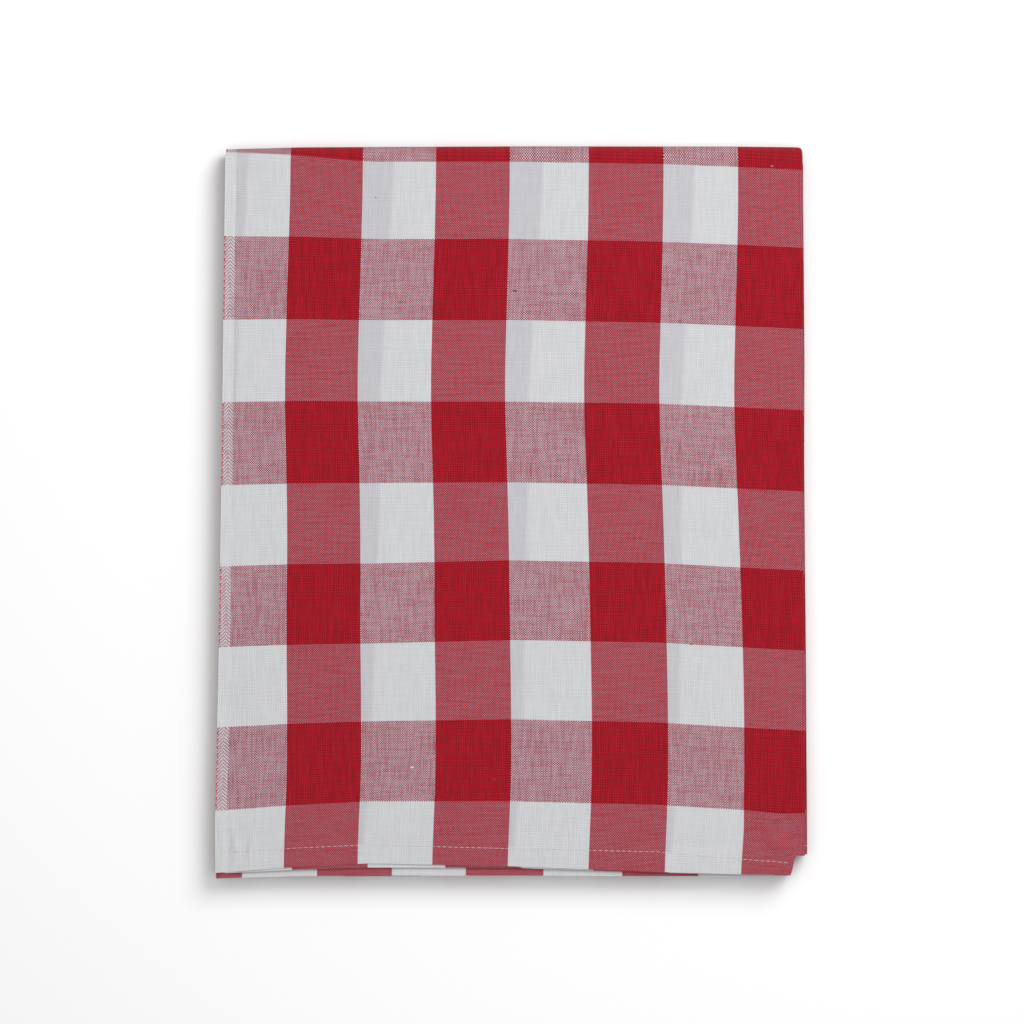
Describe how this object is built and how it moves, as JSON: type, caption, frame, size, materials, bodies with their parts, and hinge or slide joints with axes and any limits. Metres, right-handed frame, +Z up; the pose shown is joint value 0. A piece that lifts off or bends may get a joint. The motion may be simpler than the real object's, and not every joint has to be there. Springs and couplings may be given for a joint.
{
  "type": "folded tablecloth",
  "caption": "Red and white check cotton tablecloth with stitched hems, folded in half across its width and along its length into a flat layered pile.",
  "frame": {"origin": "middle of the folded cloth's footprint, on the surface it lies on", "axes": "+Z up through the layers, +Y towards the last fold and away from the hems, +X towards the side folds"},
  "size_m": [0.3578, 0.4426, 0.0213],
  "materials": {
    "check_cotton": "matt plain-woven cotton, red and white yarn-dyed check"
  },
  "bodies": {
    "root": {"tablecloth": "check_cotton"}
  },
  "joints": []
}
